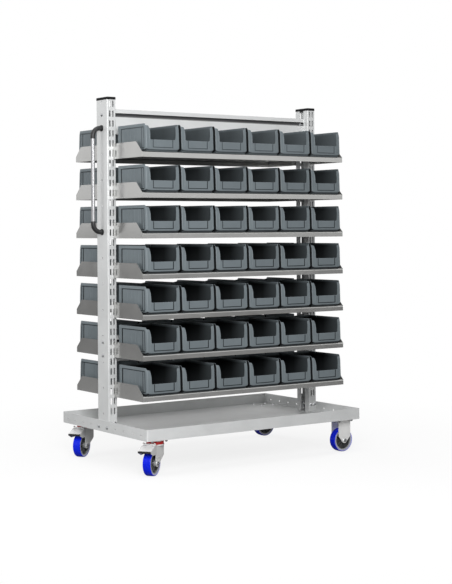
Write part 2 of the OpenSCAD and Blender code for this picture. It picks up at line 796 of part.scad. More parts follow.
// Tyre with round shoulders, cast on the hub's rim
module tyre(x) {
    flat = tyre_w / 2 - shoulder_r;
    color(BLUE) translate([x, 0, wheel_r]) rotate([90, 0, 0]) rotate_extrude() union() {
        polygon([[hub_r, -rim_half], [wheel_r - shoulder_r, -tyre_w / 2],
                 [wheel_r - shoulder_r, tyre_w / 2], [hub_r, rim_half]]);
        translate([wheel_r - shoulder_r - lap, -flat]) square([shoulder_r + lap, 2 * flat]);
        for (side = SIDES) translate([wheel_r - shoulder_r, side * flat]) circle(shoulder_r);
    }
}

// Side cheek of a pedal, seen from its pivot. x runs inwards and y up.
module cheek_outline() {
    tip = (pedal_len - cheek_short) * cos(pedal_slope);
    tip_z = -tip * tan(pedal_slope);
    polygon([[cheek_back, 0], [0, 0], [-tip, tip_z], [-tip, tip_z - cheek_edge], [-tip / 2, -cheek_drop],
             [cheek_back, -cheek_drop]]);
}

// Brake pedal on its pivot, with the shoe that presses on the tyre
module pedal() {
    barrel_half = leg_in - run_gap;
    wide_from = ear_r + ear_room;
    color(ZINC) translate([pivot_x, 0, pivot_z]) union() {
        rotate([90, 0, 0]) cylinder(r = pivot_barrel_r, h = 2 * barrel_half, center = true);
        rotate([90, 0, 0]) cylinder(r = pivot_r, h = 2 * leg_out, center = true);
        rotate([0, -pedal_slope, 0]) {
            translate([0, 0, -pedal_t / 2]) linear_extrude(pedal_t) union() {
                translate([-wide_from - lap, -pedal_root_w / 2]) square([wide_from + lap, pedal_root_w]);
                translate([-pedal_len, -tread_w / 2]) square([pedal_len - wide_from, tread_w]);
            }
            translate([-pivot_barrel_r - shoe_len, -shoe_w / 2, -shoe_drop])
                cube([shoe_len, shoe_w, shoe_drop]);
        }
        for (side = SIDES) translate([0, side * (leg_out + cheek_gap + cheek_t / 2) + cheek_t / 2, 0])
            rotate([90, 0, 0]) linear_extrude(cheek_t) cheek_outline();
    }
}

// Fixed forks: each is one pressing with its top plate
module fixed_forks() {
    color(ZINC) for (face = FACES) at_fixed(face) difference() {
        union() {
            plate_blank();
            both_legs()
                leg_outline(plate_bottom + lap, fixed_leg_half, fixed_knee, -fixed_leg_half, fixed_knee, 0);
        }
        axle_hole(0, wheel_r, axle_d / 2 + run_fit);
    }
}

module fixed_axles() { for (face = FACES) at_fixed(face) axle(0); }

in_frame() deck_tray();
in_frame() deck_rims();
in_frame() left_upright();
in_frame() right_upright();
in_frame() upright_caps();
in_frame() top_beam();
in_frame() lower_beam();
in_frame() frame_bolts();
in_frame() foot_brackets();
in_frame() foot_bolts();
in_frame() handle_tube();
in_frame() handle_elbows();
for (face = FACES) for (row = ROWS) {
    in_frame() on_face(face) shelf(row);
    in_frame() on_face(face) bins(row);
}
in_frame() castor_bolts();
in_frame() swivel_plates();
in_frame() swivel_rings();
in_frame() kingpins();
for (face = FACES) {
    in_frame() at_swivel(face) swivel_fork();
    in_frame() at_swivel(face) axle(-trail);
    in_frame() at_swivel(face) pedal();
    in_frame() at_swivel(face) hub(-trail);
    in_frame() at_swivel(face) tyre(-trail);
    in_frame() at_fixed(face) hub(0);
    in_frame() at_fixed(face) tyre(0);
}
in_frame() fixed_forks();
in_frame() fixed_axles();
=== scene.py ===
import json
import math
import bmesh
import bpy
from mathutils import Matrix, Vector


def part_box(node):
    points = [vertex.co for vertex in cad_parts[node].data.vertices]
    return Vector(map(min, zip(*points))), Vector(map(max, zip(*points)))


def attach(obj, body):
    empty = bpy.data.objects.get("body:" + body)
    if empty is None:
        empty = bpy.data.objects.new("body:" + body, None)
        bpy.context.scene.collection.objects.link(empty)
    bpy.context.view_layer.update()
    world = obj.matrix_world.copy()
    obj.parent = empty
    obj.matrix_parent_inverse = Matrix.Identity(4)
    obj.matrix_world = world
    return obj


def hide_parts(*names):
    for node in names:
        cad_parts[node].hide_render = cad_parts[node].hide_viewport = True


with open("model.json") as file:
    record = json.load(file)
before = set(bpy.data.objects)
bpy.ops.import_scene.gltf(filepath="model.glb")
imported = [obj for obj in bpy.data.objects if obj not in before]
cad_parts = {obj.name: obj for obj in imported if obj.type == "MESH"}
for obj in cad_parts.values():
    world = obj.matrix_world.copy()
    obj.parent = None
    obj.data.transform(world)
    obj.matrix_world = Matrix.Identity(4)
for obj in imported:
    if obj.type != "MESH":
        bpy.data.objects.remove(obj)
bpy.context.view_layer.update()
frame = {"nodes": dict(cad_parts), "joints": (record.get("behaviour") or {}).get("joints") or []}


# Deck tray
# A steel sheet turned up at its two ends, with long rims welded on its front and rear edges, then
# powder coated light grey. Baked powder leaves a satin skin with a faint orange peel and clouds.
def add(tree, kind, values=None, **settings):
    """A new node with its settings and its unlinked socket values."""
    node = tree.nodes.new(kind)
    for key, value in settings.items():
        setattr(node, key, value)
    for key, value in (values or {}).items():
        node.inputs[key].default_value = value
    return node


def surface_group(name, inputs, outputs):
    """An empty shader group with named number sockets, and its two ends."""
    tree = bpy.data.node_groups.new(name, "ShaderNodeTree")
    for label, value in inputs.items():
        socket = tree.interface.new_socket(label, in_out="INPUT", socket_type="NodeSocketFloat")
        socket.default_value = value
    for label in outputs:
        tree.interface.new_socket(label, in_out="OUTPUT", socket_type="NodeSocketFloat")
    return tree, tree.nodes.new("NodeGroupInput"), tree.nodes.new("NodeGroupOutput")


def grain_group():
    """Fine grain of a skin, and slow cloudy patches, both by the piece's own place."""
    tree, given, out = surface_group("skin_grain", {"Grain": 600.0, "Patch": 7.0},
                                     ["Height", "Cloud", "Streak"])
    place = add(tree, "ShaderNodeTexCoord")
    grain = add(tree, "ShaderNodeTexNoise", {"Detail": 2.0, "Roughness": 0.5})
    cloud = add(tree, "ShaderNodeTexNoise", {"Detail": 4.0, "Roughness": 0.6, "Distortion": 0.4})
    long_way = add(tree, "ShaderNodeMapping", {"Scale": (1.0, 1.0, 0.04)})
    streak = add(tree, "ShaderNodeTexNoise", {"Scale": 260.0, "Detail": 2.0, "Roughness": 0.6})
    link = tree.links.new
    for noise in (grain, cloud):
        link(place.outputs["Object"], noise.inputs["Vector"])
    link(place.outputs["Object"], long_way.inputs["Vector"])
    link(long_way.outputs["Vector"], streak.inputs["Vector"])
    link(given.outputs["Grain"], grain.inputs["Scale"])
    link(given.outputs["Patch"], cloud.inputs["Scale"])
    for noise, label in ((grain, "Height"), (cloud, "Cloud"), (streak, "Streak")):
        link(noise.outputs["Fac"], out.inputs[label])
    return tree


def dust_group():
    """Fine dust that settles on faces that look up, in drifts, and thins out with height."""
    tree, given, out = surface_group("settled_dust", {"Amount": 0.3, "Reach": 0.4}, ["Dust"])
    place = add(tree, "ShaderNodeTexCoord")
    faces = add(tree, "ShaderNodeNewGeometry")
    split = add(tree, "ShaderNodeSeparateXYZ")
    up = add(tree, "ShaderNodeSeparateXYZ")
    lying = add(tree, "ShaderNodeMapRange", {"From Min": 0.2, "From Max": 1.0})
    low = add(tree, "ShaderNodeMapRange", {"From Min": 0.0, "To Min": 1.0, "To Max": 0.0})
    drift = add(tree, "ShaderNodeTexNoise", {"Scale": 14.0, "Detail": 5.0, "Roughness": 0.65})
    sharp = add(tree, "ShaderNodeMapRange", {"From Min": 0.4, "From Max": 0.7})
    products = [add(tree, "ShaderNodeMath", operation="MULTIPLY") for _ in range(3)]
    link = tree.links.new
    link(place.outputs["Object"], split.inputs["Vector"])
    link(place.outputs["Object"], drift.inputs["Vector"])
    link(faces.outputs["Normal"], up.inputs["Vector"])
    link(up.outputs["Z"], lying.inputs["Value"])
    link(split.outputs["Z"], low.inputs["Value"])
    link(given.outputs["Reach"], low.inputs["From Max"])
    link(drift.outputs["Fac"], sharp.inputs["Value"])
    link(lying.outputs["Result"], products[0].inputs[0])
    link(low.outputs["Result"], products[0].inputs[1])
    link(products[0].outputs[0], products[1].inputs[0])
    link(sharp.outputs["Result"], products[1].inputs[1])
    link(products[1].outputs[0], products[2].inputs[0])
    link(given.outputs["Amount"], products[2].inputs[1])
    link(products[2].outputs[0], out.inputs["Dust"])
    return tree


SKIN_GRAIN = grain_group()
SETTLED_DUST = dust_group()


def skin(name, dark, pale, rough, grain, bump, driver="Cloud", dust=None, **shader):
    """A material whose colour drifts from dark to pale and whose gloss drifts between two values."""
    material = bpy.data.materials.new(name)
    material.use_nodes = True
    tree = material.node_tree
    link = tree.links.new
    bsdf = tree.nodes["Principled BSDF"]
    for socket, value in shader.items():
        bsdf.inputs[socket.replace("_", " ")].default_value = value
    texture = add(tree, "ShaderNodeGroup", node_tree=SKIN_GRAIN)
    texture.inputs["Grain"].default_value = grain
    spread = add(tree, "ShaderNodeMapRange", {"From Min": 0.3, "From Max": 0.7})
    colour = add(tree, "ShaderNodeMix", data_type="RGBA")
    colour.inputs["A"].default_value = (*dark, 1.0)
    colour.inputs["B"].default_value = (*pale, 1.0)
    gloss = add(tree, "ShaderNodeMapRange", {"From Min": 0.3, "From Max": 0.7,
                                             "To Min": rough[0], "To Max": rough[1]})
    relief = add(tree, "ShaderNodeBump", {"Strength": bump, "Distance": 0.0004})
    link(texture.outputs[driver], spread.inputs["Value"])
    link(spread.outputs["Result"], colour.inputs["Factor"])
    link(texture.outputs["Cloud"], gloss.inputs["Value"])
    link(gloss.outputs["Result"], bsdf.inputs["Roughness"])
    link(texture.outputs["Height"], relief.inputs["Height"])
    link(relief.outputs["Normal"], bsdf.inputs["Normal"])
    last = colour.outputs["Result"]
    if dust:
        fall = add(tree, "ShaderNodeGroup", {"Amount": dust[0], "Reach": dust[1]}, node_tree=SETTLED_DUST)
        dusty = add(tree, "ShaderNodeMix", data_type="RGBA")
        dusty.inputs["B"].default_value = (0.42, 0.40, 0.37, 1.0)
        link(fall.outputs["Dust"], dusty.inputs["Factor"])
        link(last, dusty.inputs["A"])
        last = dusty.outputs["Result"]
    link(last, bsdf.inputs["Base Color"])
    return material


def touched(material, mark, share, colour):
    """Blend a colour over a skin, by a share, where a number stored on the mesh says so."""
    tree = material.node_tree
    base = tree.nodes["Principled BSDF"].inputs["Base Color"]
    before = base.links[0].from_socket
    stored = add(tree, "ShaderNodeAttribute", attribute_name=mark)
    amount = add(tree, "ShaderNodeMath", {1: share}, operation="MULTIPLY")
    over = add(tree, "ShaderNodeMix", data_type="RGBA")
    over.inputs["B"].default_value = (*colour, 1.0)
    tree.links.new(stored.outputs["Fac"], amount.inputs[0])
    tree.links.new(amount.outputs[0], over.inputs["Factor"])
    tree.links.new(before, over.inputs["A"])
    tree.links.new(over.outputs["Result"], base)


def marked(obj, mark, values):
    """Store a number for each point of a mesh."""
    obj.data.attributes.new(mark, "FLOAT", "POINT").data.foreach_set("value", values)


def dress(material, *nodes):
    """Give CAD nodes their material."""
    for node in nodes:
        data = frame["nodes"][node].data
        data.materials.clear()
        data.materials.append(material)


frame_paint = skin("frame_paint", (0.64, 0.65, 0.65), (0.69, 0.70, 0.70), (0.30, 0.40), 420.0, 0.10,
                   Metallic=0.12)
deck_paint = skin("deck_paint", (0.63, 0.64, 0.64), (0.69, 0.70, 0.70), (0.30, 0.42), 420.0, 0.12,
                  dust=(0.25, 0.30), Metallic=0.12)
dress(deck_paint, "deck_tray", "deck_rims")


# Castor plates, forks and pins
# Pressed from steel strip and zinc plated, bolted up under the deck. The plating is bright, with
# a faint spangle, and a red moulded seal closes each swivel race.
castor_zinc = skin("castor_zinc", (0.84, 0.84, 0.83), (0.94, 0.94, 0.93), (0.26, 0.38), 160.0, 0.08,
                   dust=(0.04, 0.08), Metallic=0.2)
bolt_zinc = skin("bolt_zinc", (0.40, 0.41, 0.42), (0.54, 0.55, 0.56), (0.18, 0.30), 300.0, 0.08,
                 Metallic=0.9)
seal_red = skin("seal_red", (0.52, 0.012, 0.014), (0.66, 0.022, 0.020), (0.34, 0.46), 700.0, 0.10)
dress(castor_zinc, "swivel_plates", "fixed_forks", "front_swivel_fork", "rear_swivel_fork")
dress(bolt_zinc, "castor_bolts", "kingpins", "fixed_axles", "front_swivel_axle", "rear_swivel_axle")
dress(seal_red, "swivel_rings")


# Wheels
# A blue polyurethane tyre is cast on a grey nylon hub, with a slight crown and a fine moulding
# line round the middle. Radial webs stiffen both faces of the hub between its boss and its rim.
MM = 0.001
CASTORS = ("front_swivel", "rear_swivel", "front_fixed", "rear_fixed")
WHEEL_R = 62.5
TYRE_HALF = 21.0
HUB_R = 54.0
HUB_RECESS = 12.0


def mesh_object(name, points, faces, material, angle=0.6):
    """A mesh from points and faces, smooth where it bends less than the angle."""
    data = bpy.data.meshes.new(name)
    data.from_pydata(points, [], faces)
    data.validate()
    data.polygons.foreach_set("use_smooth", [True] * len(data.polygons))
    data.set_sharp_from_angle(angle=angle)
    data.materials.append(material)
    obj = bpy.data.objects.new(name, data)
    bpy.context.scene.collection.objects.link(obj)
    return obj


def faced_out(obj):
    """Turn the faces of a closed mesh outwards."""
    form = bmesh.new()
    form.from_mesh(obj.data)
    bmesh.ops.recalc_face_normals(form, faces=form.faces)
    form.to_mesh(obj.data)
    form.free()


def wheel_axis(castor):
    """Where a wheel's middle is and which way its axle points, from the joint it turns on."""
    joint = next(j for j in frame["joints"] if j["child"] == castor + "_wheel")
    return Vector(joint["pos_m"]), Vector(joint["axis"]).normalized()


def lathe(name, section, centre, axle, material, steps=96):
    """A closed section of (radius, along) in millimetres, turned about an axle."""
    side = Vector((0.0, 0.0, 1.0)).cross(axle).normalized()
    up = Vector((0.0, 0.0, 1.0))
    points = []
    for step in range(steps):
        turn = 2.0 * math.pi * step / steps
        out = side * math.cos(turn) + up * math.sin(turn)
        points += [tuple(centre + out * (r * MM) + axle * (along * MM)) for r, along in section]
    count = len(section)
    faces = []
    for step in range(steps):
        here, there = step * count, (step + 1) % steps * count
        for k in range(count):
            n = (k + 1) % count
            faces.append((here + k, here + n, there + n, there + k))
    obj = mesh_object(name, points, faces, material)
    faced_out(obj)
    return obj


tyre_blue = skin("tyre_blue", (0.002, 0.012, 0.62), (0.004, 0.022, 0.80), (0.24, 0.34), 500.0, 0.05,
                 dust=(0.06, 0.14), Specular_IOR_Level=0.22)
hub_nylon = skin("hub_nylon", (0.38, 0.39, 0.41), (0.46, 0.47, 0.49), (0.38, 0.50), 700.0, 0.10,
                 dust=(0.2, 0.14))

half = [(WHEEL_R, 0.35), (WHEEL_R, 8.0), (WHEEL_R - 0.1, 13.0), (WHEEL_R - 0.35, 16.5),
        (WHEEL_R - 0.9, 18.8), (WHEEL_R - 1.8, 20.2), (WHEEL_R - 3.0, TYRE_HALF),
        (WHEEL_R - 4.2, TYRE_HALF - 0.1), (HUB_R + 2.6, TYRE_HALF - 0.9), (HUB_R + 0.4, TYRE_HALF - 1.5),
        (HUB_R + 0.1, TYRE_HALF - 1.9)]
tyre_section = [(WHEEL_R - 0.25, 0.0)] + half + [(r, -along) for r, along in reversed(half)]
# Painted highlight: the tyre's sidewalls are lightened to a pale lavender, as where light catches them.
sidewall_highlight = [1.0 if r < WHEEL_R - 4.0 else 0.0 for r, along in tyre_section]
touched(tyre_blue, "rub_and_highlight", 0.75, (0.50, 0.50, 0.66))
# Painted shade: the hub's recess, between its boss and its rim, is blended almost to black.
touched(hub_nylon, "dark", 0.94, (0.012, 0.012, 0.013))
for castor in CASTORS:
    centre, axle = wheel_axis(castor)
    tyre = lathe(castor + "_tyre_cast", tyre_section, centre, axle, tyre_blue)
    marked(tyre, "rub_and_highlight", sidewall_highlight * (len(tyre.data.vertices) // len(sidewall_highlight)))
    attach(tyre, castor + "_wheel")
    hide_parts(castor + "_tyre")
    dress(hub_nylon, castor + "_hub")
    hub = frame["nodes"][castor + "_hub"]
    # The hub's recess is marked for painted shade by its depth along the axle.
    depths = [abs((hub.matrix_world @ v.co - centre).dot(axle)) for v in hub.data.vertices]
    marked(hub, "dark", [1.0 if depth < HUB_RECESS * MM else 0.0 for depth in depths])


def node_tree(name, inputs):
    """An empty geometry tree with one geometry input and named inputs for its sizes."""
    tree = bpy.data.node_groups.new(name, "GeometryNodeTree")
    tree.interface.new_socket("Geometry", in_out="INPUT", socket_type="NodeSocketGeometry")
    for label, kind in inputs.items():
        tree.interface.new_socket(label, in_out="INPUT", socket_type="NodeSocket" + kind)
    tree.interface.new_socket("Geometry", in_out="OUTPUT", socket_type="NodeSocketGeometry")
    return tree, tree.nodes.new("NodeGroupInput"), tree.nodes.new("NodeGroupOutput")


def grown(name, tree, values):
    """Run a geometry tree once with its named values, and keep the result as a plain mesh."""
    seed = bpy.data.objects.new(name, bpy.data.meshes.new(name))
    bpy.context.scene.collection.objects.link(seed)
    maker = seed.modifiers.new("maker", "NODES")
    maker.node_group = tree
    keys = {item.name: item.identifier for item in tree.interface.items_tree if item.in_out == "INPUT"}
    for label, value in values.items():
        maker[keys[label]] = value
    seen = seed.evaluated_get(bpy.context.evaluated_depsgraph_get())
    data = bpy.data.meshes.new_from_object(seen)
    seed.modifiers.remove(maker)
    seed.data = data
    data.name = name
    return seed


def web_tree():
    """Tapered webs set round an axle, the same on both faces of a hub."""
    tree, given, out = node_tree("hub_webs", {"Webs": "Int", "Web": "Object", "Centre": "Vector",
                                              "Turn": "Rotation", "Finish": "Material"})
    link = tree.links.new
    ring = add(tree, "GeometryNodeMeshCircle", {"Radius": 0.001})
    web = add(tree, "GeometryNodeObjectInfo")
    place = add(tree, "GeometryNodeInputPosition")
    spread = add(tree, "FunctionNodeAlignRotationToVector", axis="X")
    on = add(tree, "GeometryNodeInstanceOnPoints")
    real = add(tree, "GeometryNodeRealizeInstances")
    stand = add(tree, "GeometryNodeTransform")
    finish = add(tree, "GeometryNodeSetMaterial")
    link(given.outputs["Webs"], ring.inputs["Vertices"])
    link(given.outputs["Web"], web.inputs["Object"])
    link(place.outputs["Position"], spread.inputs["Vector"])
    link(ring.outputs["Mesh"], on.inputs["Points"])
    link(web.outputs["Geometry"], on.inputs["Instance"])
    link(spread.outputs["Rotation"], on.inputs["Rotation"])
    link(on.outputs["Instances"], stand.inputs["Geometry"])
    link(given.outputs["Centre"], stand.inputs["Translation"])
    link(given.outputs["Turn"], stand.inputs["Rotation"])
    link(stand.outputs["Geometry"], real.inputs["Geometry"])
    link(real.outputs["Geometry"], finish.inputs["Geometry"])
    link(given.outputs["Finish"], finish.inputs["Material"])
    link(finish.outputs["Geometry"], out.inputs["Geometry"])
    return tree


WEB_COUNT = 10
WEB_FOOT = 6.5
WEB_FOOT_HALF = 1.9
WEB_TOP_HALF = 1.3
WEB_TOP = ((14.0, 18.5), (28.0, 14.0), (49.0, 13.0))
# How much of the hub's painted shade falls on its webs
WEB_SHADE = 0.9


def web_form():
    """One web on each face of the hub: tall at the boss, low at the rim, with drafted sides."""
    points, faces = [], []
    for face in (-1, 1):
        base = len(points)
        for r, height in WEB_TOP:
            for across, along in ((-WEB_FOOT_HALF, WEB_FOOT), (-WEB_TOP_HALF, height),
                                  (WEB_TOP_HALF, height), (WEB_FOOT_HALF, WEB_FOOT)):
                points.append((r * MM, across * MM, face * along * MM))
        for k in (0, 4):
            for j in range(4):
                n = (j + 1) % 4
                faces.append((base + k + j, base + k + n, base + k + 4 + n, base + k + 4 + j))
        faces.append((base, base + 3, base + 2, base + 1))
        faces.append((base + 8, base + 9, base + 10, base + 11))
    obj = mesh_object("web_form", points, faces, hub_nylon)
    faced_out(obj)
    # The webs take most of the hub's painted shade.
    marked(obj, "dark", [WEB_SHADE] * len(points))
    return obj


HUB_WEBS = web_tree()
web = web_form()
for castor in CASTORS:
    centre, axle = wheel_axis(castor)
    turn = axle.to_track_quat("Z", "Y").to_euler()
    webs = grown(castor + "_hub_webs", HUB_WEBS,
                 {"Webs": WEB_COUNT, "Web": web, "Centre": centre, "Turn": turn, "Finish": hub_nylon})
    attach(webs, castor + "_wheel")
bpy.data.objects.remove(web)


# Brake pedals
# A folded steel pedal swings on a pin between the fork's ears, its shoe bears on the tyre and its
# cheeks hang down outside the fork. A ribbed black rubber tread is pushed on over its front edge.
PEDAL_LEN = 66.0
PEDAL_SLOPE = math.radians(26.0)
TREAD_W = 68.0
TREAD_REACH = 7.0
TREAD = [(PEDAL_LEN - TREAD_REACH, -5.4), (PEDAL_LEN - 0.5, -6.0), (PEDAL_LEN + 0.1, -5.2),
         (PEDAL_LEN + 0.1, 1.9)]
for rib in range(2):
    start = PEDAL_LEN - 0.1 - rib * 3.2
    TREAD += [(start, 2.4), (start - 1.6, 2.4), (start - 2.0, 2.1), (start - 2.9, 2.1)]
TREAD += [(PEDAL_LEN - TREAD_REACH, 2.05)]


def prism(name, outline, pivot, reach, rise, across, sides, material):
    """An outline of (reach, rise) in millimetres from a pivot, drawn out between two places across."""
    points, faces = [], []
    for side in sides:
        edge = pivot + across * (side * MM)
        points += [tuple(edge + reach * (a * MM) + rise * (b * MM)) for a, b in outline]
    count = len(outline)
    for k in range(count):
        n = (k + 1) % count
        faces.append((k, n, count + n, count + k))
    faces.append(tuple(range(count)))
    faces.append(tuple(range(2 * count - 1, count - 1, -1)))
    obj = mesh_object(name, points, faces, material, 0.5)
    faced_out(obj)
    return obj


pedal_steel = skin("pedal_steel", (0.70, 0.70, 0.70), (0.82, 0.82, 0.82), (0.30, 0.42), 220.0, 0.08,
                   dust=(0.06, 0.1), Metallic=0.25)
tread_black = skin("tread_black", (0.012, 0.012, 0.013), (0.024, 0.024, 0.025), (0.45, 0.62), 500.0, 0.15)
for face in ("front", "rear"):
    dress(pedal_steel, face + "_pedal")
    joint = next(j for j in frame["joints"] if j["child"] == face + "_brake_pedal")
    pivot = Vector(joint["pos_m"])
    across = -Vector(joint["axis"]).normalized()
    up = Vector((0.0, 0.0, 1.0))
    outward = up.cross(across)
    along = outward * math.cos(PEDAL_SLOPE) - up * math.sin(PEDAL_SLOPE)
    half = TREAD_W / 2
    tread = prism(face + "_pedal_tread", TREAD, pivot, along, across.cross(along), across,
                  (-half + 0.1, half - 0.1), tread_black)
    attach(tread, face + "_brake_pedal")


# Uprights, beams and their fixings
# Two lipped channels, punched with slots at an even step, stand inside the deck's end rims. Two
# rolled beams tie them together, bolted through from the outside with domed zinc bolts. A painted
# shadow darkens the beams' narrow grooves, deepest under the rail and fading downwards.
dress(frame_paint, "left_upright", "right_upright")
RAIL_H = 20.0
GROOVE_H = 20.0
beam_paint = skin("beam_paint", (0.70, 0.71, 0.71), (0.75, 0.76, 0.76), (0.30, 0.40), 420.0, 0.10,
                  Metallic=0.12)
tree = beam_paint.node_tree
link = tree.links.new
place = add(tree, "ShaderNodeTexCoord")
split = add(tree, "ShaderNodeSeparateXYZ")
low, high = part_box("top_beam")
inside = add(tree, "ShaderNodeMath", {1: (low.y + high.y) / 2, 2: (high.y - low.y) / 2 - 1.0 * MM},
             operation="COMPARE")
shadowed_groove = add(tree, "ShaderNodeMath", operation="MULTIPLY")
base = tree.nodes["Principled BSDF"].inputs["Base Color"]
# Painted shadow: the beams' grooves are darkened under their top rails, fading to half towards the bottom
# of the groove.
groove_shadow = add(tree, "ShaderNodeMix", data_type="RGBA")
groove_shadow.inputs["B"].default_value = (0.055, 0.055, 0.058, 1.0)
bands = []
for beam in ("top_beam", "lower_beam"):
    low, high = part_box(beam)
    middle = high.z - (RAIL_H + GROOVE_H / 2) * MM
    reach = (GROOVE_H / 2 + 0.4) * MM
    band = add(tree, "ShaderNodeMath", {1: middle, 2: reach}, operation="COMPARE")
    depth = add(tree, "ShaderNodeMapRange", {"From Min": middle - reach, "From Max": middle - reach * 0.1,
                                             "To Min": 0.5, "To Max": 1.0})
    bands.append(add(tree, "ShaderNodeMath", operation="MULTIPLY"))
    link(split.outputs["Z"], band.inputs[0])
    link(split.outputs["Z"], depth.inputs["Value"])
    link(band.outputs[0], bands[-1].inputs[0])
    link(depth.outputs["Result"], bands[-1].inputs[1])
either = add(tree, "ShaderNodeMath", operation="MAXIMUM")
link(place.outputs["Object"], split.inputs["Vector"])
link(split.outputs["Y"], inside.inputs[0])
link(bands[0].outputs[0], either.inputs[0])
link(bands[1].outputs[0], either.inputs[1])
link(either.outputs[0], shadowed_groove.inputs[0])
link(inside.outputs[0], shadowed_groove.inputs[1])
link(base.links[0].from_socket, groove_shadow.inputs["A"])
link(shadowed_groove.outputs[0], groove_shadow.inputs["Factor"])
link(groove_shadow.outputs["Result"], base)
dress(beam_paint, "top_beam", "lower_beam")
bracket_zinc = skin("bracket_zinc", (0.60, 0.61, 0.61), (0.72, 0.73, 0.73), (0.28, 0.42), 160.0, 0.08,
                    Metallic=1.0)
dress(bolt_zinc, "frame_bolts", "foot_bolts")
dress(bracket_zinc, "foot_brackets")


# Upright caps
# Moulded black caps pushed into the tops of the uprights. Each has a plain skirt that hangs a little
# over the steel and a slightly domed top with well rounded edges.
cap_black = skin("cap_black", (0.006, 0.006, 0.007), (0.012, 0.012, 0.013), (0.45, 0.60), 700.0, 0.14,
                 Specular_IOR_Level=0.12)
low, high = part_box("upright_caps")
CAP_H = 10.0
UPRIGHT_TOP = high.z - CAP_H * MM
CAP_W = 53.0
CAP_DEP = 112.0
CAP_R = 5.5
CAP_LEAST_R = 1.2
CORNER_STEPS = 5
CAP_ROUND = 4 * CORNER_STEPS
CAP_SKIRT = 4.0
CAP_RINGS = ((2.4, 0.0), (1.3, 0.0), (1.3, -CAP_SKIRT), (0.4, -CAP_SKIRT), (0.0, 0.6 - CAP_SKIRT),
             (0.0, 6.0), (0.5, 8.0), (1.8, 9.2), (4.0, 9.7), (12.0, CAP_H))
points, faces = [], []
for middle in (low.x + CAP_W / 2 * MM, high.x - CAP_W / 2 * MM):
    base = len(points)
    for inset, rise in CAP_RINGS:
        radius = max(CAP_R - inset, CAP_LEAST_R)
        for corner in range(4):
            sx = (1, -1, -1, 1)[corner]
            sy = (1, 1, -1, -1)[corner]
            for step in range(CORNER_STEPS):
                angle = math.radians(90.0 * (corner + step / (CORNER_STEPS - 1)))
                x = sx * (CAP_W / 2 - inset - radius) + radius * math.cos(angle)
                y = sy * (CAP_DEP / 2 - inset - radius) + radius * math.sin(angle)
                points.append((middle + x * MM, (low.y + high.y) / 2 + y * MM, UPRIGHT_TOP + rise * MM))
    for ring in range(len(CAP_RINGS) - 1):
        here = base + ring * CAP_ROUND
        for k in range(CAP_ROUND):
            a, b = here + k, here + (k + 1) % CAP_ROUND
            faces.append((a, b, b + CAP_ROUND, a + CAP_ROUND))
    faces.append(tuple(len(points) - CAP_ROUND + k for k in range(CAP_ROUND)))
    faces.append(tuple(base + k for k in reversed(range(CAP_ROUND))))
caps = mesh_object("upright_cap_mouldings", points, faces, cap_black)
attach(caps, "frame")
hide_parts("upright_caps")


# Push handle
# A plain anodised tube held between two moulded black elbows, which are bolted to the left
# upright through its row of holes.
black_plastic = skin("black_plastic", (0.010, 0.010, 0.011), (0.019, 0.019, 0.020), (0.36, 0.50), 700.0,
                     0.14)
dress(black_plastic, "handle_elbows")
tube_silver = skin("tube_silver", (0.30, 0.30, 0.31), (0.40, 0.40, 0.41), (0.26, 0.36), 500.0, 0.04,
                   driver="Streak", Metallic=0.6)
dress(tube_silver, "handle_tube")


# Shelves
# Thin sheet folded to a lip in front and a stop behind, with welded end plates whose hooks drop
# into the uprights' slots. The silver coat is smooth enough to mirror what stands next to it.
SHELF_ROWS = range(1, 8)
shelf_silver = skin("shelf_silver", (0.47, 0.47, 0.46), (0.52, 0.52, 0.51), (0.14, 0.19), 300.0, 0.03,
                    Metallic=0.7)
for face in ("front", "rear"):
    dress(shelf_silver, *(f"{face}_shelf_{row}" for row in SHELF_ROWS))


# Bins
# Injection moulded in blue-grey polypropylene, with a low front for the hand, a proud rim, ribbed
# side panels, a recess for a label and a stepped foot that nests in the bin below when stacked.
BIN_W = 198.0
BIN_LEN = 274.0
BIN_H = 137.0
FRONT_H = 58.0
BEND_H = 98.0
POST_H = 127.0
LEAN = 13.0
LEAN_END = 60.0
BAND = 15.0
FRONT_R = 9.0
REAR_R = 8.0
FOOT_IN = 9.0
LABEL_HALF = 57.0


def leaned(y, z):
    """A bin's front leans back above its bend, and less and less along the sides."""
    return y + LEAN * max(0.0, z - BEND_H) / (BIN_H - BEND_H) * max(0.0, 1.0 - y / LEAN_END)


